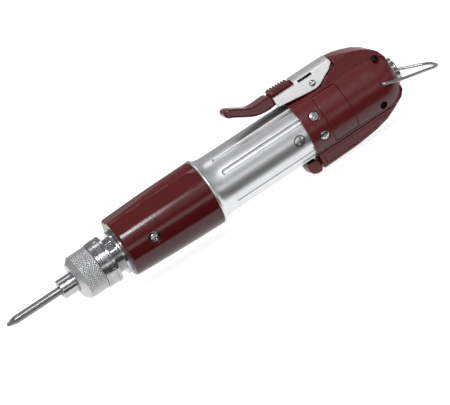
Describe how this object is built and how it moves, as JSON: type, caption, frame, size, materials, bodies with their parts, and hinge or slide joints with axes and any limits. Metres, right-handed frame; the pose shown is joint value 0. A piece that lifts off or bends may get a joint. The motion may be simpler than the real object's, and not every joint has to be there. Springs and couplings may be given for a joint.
{
  "type": "electric screwdriver",
  "caption": "Corded inline electric screwdriver: fluted metal barrel, moulded grip shells, start lever, knurled torque nut, quick-change bit sleeve and wire hanger.",
  "frame": {"origin": "on the spindle axis at the front face of the bit sleeve, where the bit's free shank begins", "axes": "+X along the spindle axis from the bit to the cord inlet, +Z towards the start lever, -Y is the side with the screw heads"},
  "size_m": [0.301, 0.0444, 0.0628],
  "materials": {
    "tool_steel": "dark satin tool steel",
    "hard_steel": "ground steel",
    "polished_steel": "polished",
    "spring_steel": "drawn wire",
    "knurled_steel": "satin, diamond knurl",
    "ring_steel": "polished turning",
    "neck_steel": "fine thread, satin",
    "bronze": "sintered",
    "gear_case_alloy": "turned steel",
    "gear_steel": "machined",
    "lamination": "laminated",
    "copper": "enamelled winding",
    "copper_bar": "turned copper",
    "zinc_steel": "plated",
    "ferrite": "sintered ferrite",
    "black_resin": "moulded",
    "white_resin": "moulded",
    "carbon": "pressed carbon",
    "screw_steel": "zinc plated",
    "dark_screw": "blackened",
    "burgundy_cover": "smooth gloss moulding",
    "burgundy_housing": "smooth gloss moulding",
    "burgundy_panel": "smooth gloss moulding",
    "burgundy_keel": "smooth gloss moulding",
    "burgundy_knob": "smooth gloss moulding",
    "burgundy_lever": "high gloss moulding",
    "burgundy_insert": "ribbed gloss moulding",
    "barrel_aluminium": "satin turned and fluted",
    "bracket_steel": "polished stamping",
    "pin_steel": "turned pin end",
    "board_green": "solder mask",
    "inlet_chrome": "polished turning",
    "wire_steel": "drawn stainless wire"
  },
  "bodies": {
    "root": {"threaded_neck": "neck_steel", "spindle_bushes": "bronze", "gear_case": "gear_case_alloy", "ring_gear": "gear_steel", "motor_can": "zinc_steel", "motor_magnets": "ferrite", "motor_bearings": "hard_steel", "motor_end_bracket": "black_resin", "brush_holders": "bronze", "carbon_brushes": "carbon", "brush_springs": "spring_steel", "brush_caps": "screw_steel", "front_cover": "burgundy_cover", "front_cover_screws": "screw_steel", "aluminium_barrel": "barrel_aluminium", "housing_left": "burgundy_housing", "housing_right": "burgundy_housing", "side_panel_left": "burgundy_panel", "side_panel_right": "burgundy_panel", "housing_screws": "screw_steel", "clamp_screws": "dark_screw", "keel_cover": "burgundy_keel", "selector_switch": "black_resin", "lever_pin": "pin_steel", "start_switch": "black_resin", "circuit_board": "board_green", "inlet_ring": "inlet_chrome", "inlet_insert": "black_resin", "clutch_spring": "spring_steel"},
    "spindle": {"spindle": "hard_steel", "bit": "tool_steel", "detent_balls": "hard_steel", "snap_ring": "spring_steel", "sleeve_spring": "spring_steel"},
    "sleeve": {"bit_sleeve": "polished_steel"},
    "seat": {"thrust_washer": "hard_steel", "spring_seat": "hard_steel"},
    "nut": {"torque_nut": "knurled_steel", "scale_ring": "ring_steel"},
    "clutch_plate": {"clutch_pusher": "hard_steel", "press_plate": "hard_steel", "clutch_balls": "hard_steel"},
    "carrier": {"first_carrier": "gear_steel"},
    "rotor": {"motor_shaft": "gear_steel", "rotor_core": "lamination", "rotor_windings": "copper", "commutator": "copper_bar"},
    "lever": {"start_lever": "burgundy_lever", "lever_insert": "burgundy_insert", "lever_bracket": "bracket_steel"},
    "plunger": {"switch_plunger": "white_resin"},
    "selector": {"selector_knob": "burgundy_knob"},
    "bail": {"hanger_bail": "wire_steel"},
    "output_planet_a": {"output_planet_a": "gear_steel"},
    "output_planet_b": {"output_planet_b": "gear_steel"},
    "output_planet_c": {"output_planet_c": "gear_steel"},
    "input_planet_a": {"input_planet_a": "gear_steel"},
    "input_planet_b": {"input_planet_b": "gear_steel"},
    "input_planet_c": {"input_planet_c": "gear_steel"}
  },
  "joints": [
    {"name": "spindle_spin", "type": "hinge", "parent": "root", "child": "spindle", "pos_m": [0, 0, 0], "axis": [1, 0, 0], "continuous": true},
    {"name": "sleeve_push", "type": "slide", "parent": "spindle", "child": "sleeve", "axis": [1, 0, 0], "range_m": [0, 0.003], "stiffness_N_per_m": 300, "deforming": ["sleeve_spring"]},
    {"name": "seat_travel", "type": "slide", "parent": "root", "child": "seat", "axis": [1, 0, 0], "range_m": [-0.002, 0.004], "deforming": ["clutch_spring"]},
    {"name": "torque_adjust", "type": "hinge", "parent": "seat", "child": "nut", "pos_m": [0, 0, 0], "axis": [1, 0, 0], "range_deg": [-720, 1440]},
    {"name": "clutch_lift", "type": "slide", "parent": "root", "child": "clutch_plate", "axis": [1, 0, 0], "range_m": [-0.00045, 0], "stiffness_N_per_m": 9000},
    {"name": "carrier_spin", "type": "hinge", "parent": "root", "child": "carrier", "pos_m": [0, 0, 0], "axis": [1, 0, 0], "continuous": true},
    {"name": "rotor_spin", "type": "hinge", "parent": "root", "child": "rotor", "pos_m": [0, 0, 0], "axis": [1, 0, 0], "continuous": true},
    {"name": "lever_press", "type": "hinge", "parent": "root", "child": "lever", "pos_m": [0.1909, 0, 0.0229], "axis": [0, 1, 0], "range_deg": [-4.5, 0], "stiffness_Nm_per_rad": 0.5},
    {"name": "plunger_travel", "type": "slide", "parent": "root", "child": "plunger", "axis": [0, 0, 1], "range_m": [-0.00102, 0]},
    {"name": "direction_select", "type": "slide", "parent": "root", "child": "selector", "axis": [0, 1, 0], "range_m": [-0.0018, 0.0018]},
    {"name": "bail_swing", "type": "hinge", "parent": "root", "child": "bail", "pos_m": [0.2246, 0, 0.0018], "axis": [0, 1, 0], "range_deg": [-100, 60]},
    {"name": "output_planet_a_spin", "type": "hinge", "parent": "spindle", "child": "output_planet_a", "pos_m": [0.0557, 0.0075, 0], "axis": [1, 0, 0], "continuous": true},
    {"name": "output_planet_b_spin", "type": "hinge", "parent": "spindle", "child": "output_planet_b", "pos_m": [0.0557, -0.00375, 0.00649], "axis": [1, 0, 0], "continuous": true},
    {"name": "output_planet_c_spin", "type": "hinge", "parent": "spindle", "child": "output_planet_c", "pos_m": [0.0557, -0.00375, -0.00649], "axis": [1, 0, 0], "continuous": true},
    {"name": "input_planet_a_spin", "type": "hinge", "parent": "carrier", "child": "input_planet_a", "pos_m": [0.0643, 0.0075, 0], "axis": [1, 0, 0], "continuous": true},
    {"name": "input_planet_b_spin", "type": "hinge", "parent": "carrier", "child": "input_planet_b", "pos_m": [0.0643, -0.00375, 0.00649], "axis": [1, 0, 0], "continuous": true},
    {"name": "input_planet_c_spin", "type": "hinge", "parent": "carrier", "child": "input_planet_c", "pos_m": [0.0643, -0.00375, -0.00649], "axis": [1, 0, 0], "continuous": true}
  ],
  "couplings": [
    {"joint": "carrier_spin", "follows": "spindle_spin", "ratio": 5},
    {"joint": "rotor_spin", "follows": "spindle_spin", "ratio": 25},
    {"joint": "seat_travel", "follows": "torque_adjust", "m_per_rad": 0.00015915},
    {"joint": "plunger_travel", "follows": "lever_press", "m_per_rad": 0.0129},
    {"joint": "output_planet_a_spin", "follows": "spindle_spin", "ratio": -2.6667},
    {"joint": "output_planet_b_spin", "follows": "spindle_spin", "ratio": -2.6667},
    {"joint": "output_planet_c_spin", "follows": "spindle_spin", "ratio": -2.6667},
    {"joint": "input_planet_a_spin", "follows": "spindle_spin", "ratio": -13.333},
    {"joint": "input_planet_b_spin", "follows": "spindle_spin", "ratio": -13.333},
    {"joint": "input_planet_c_spin", "follows": "spindle_spin", "ratio": -13.333}
  ]
}
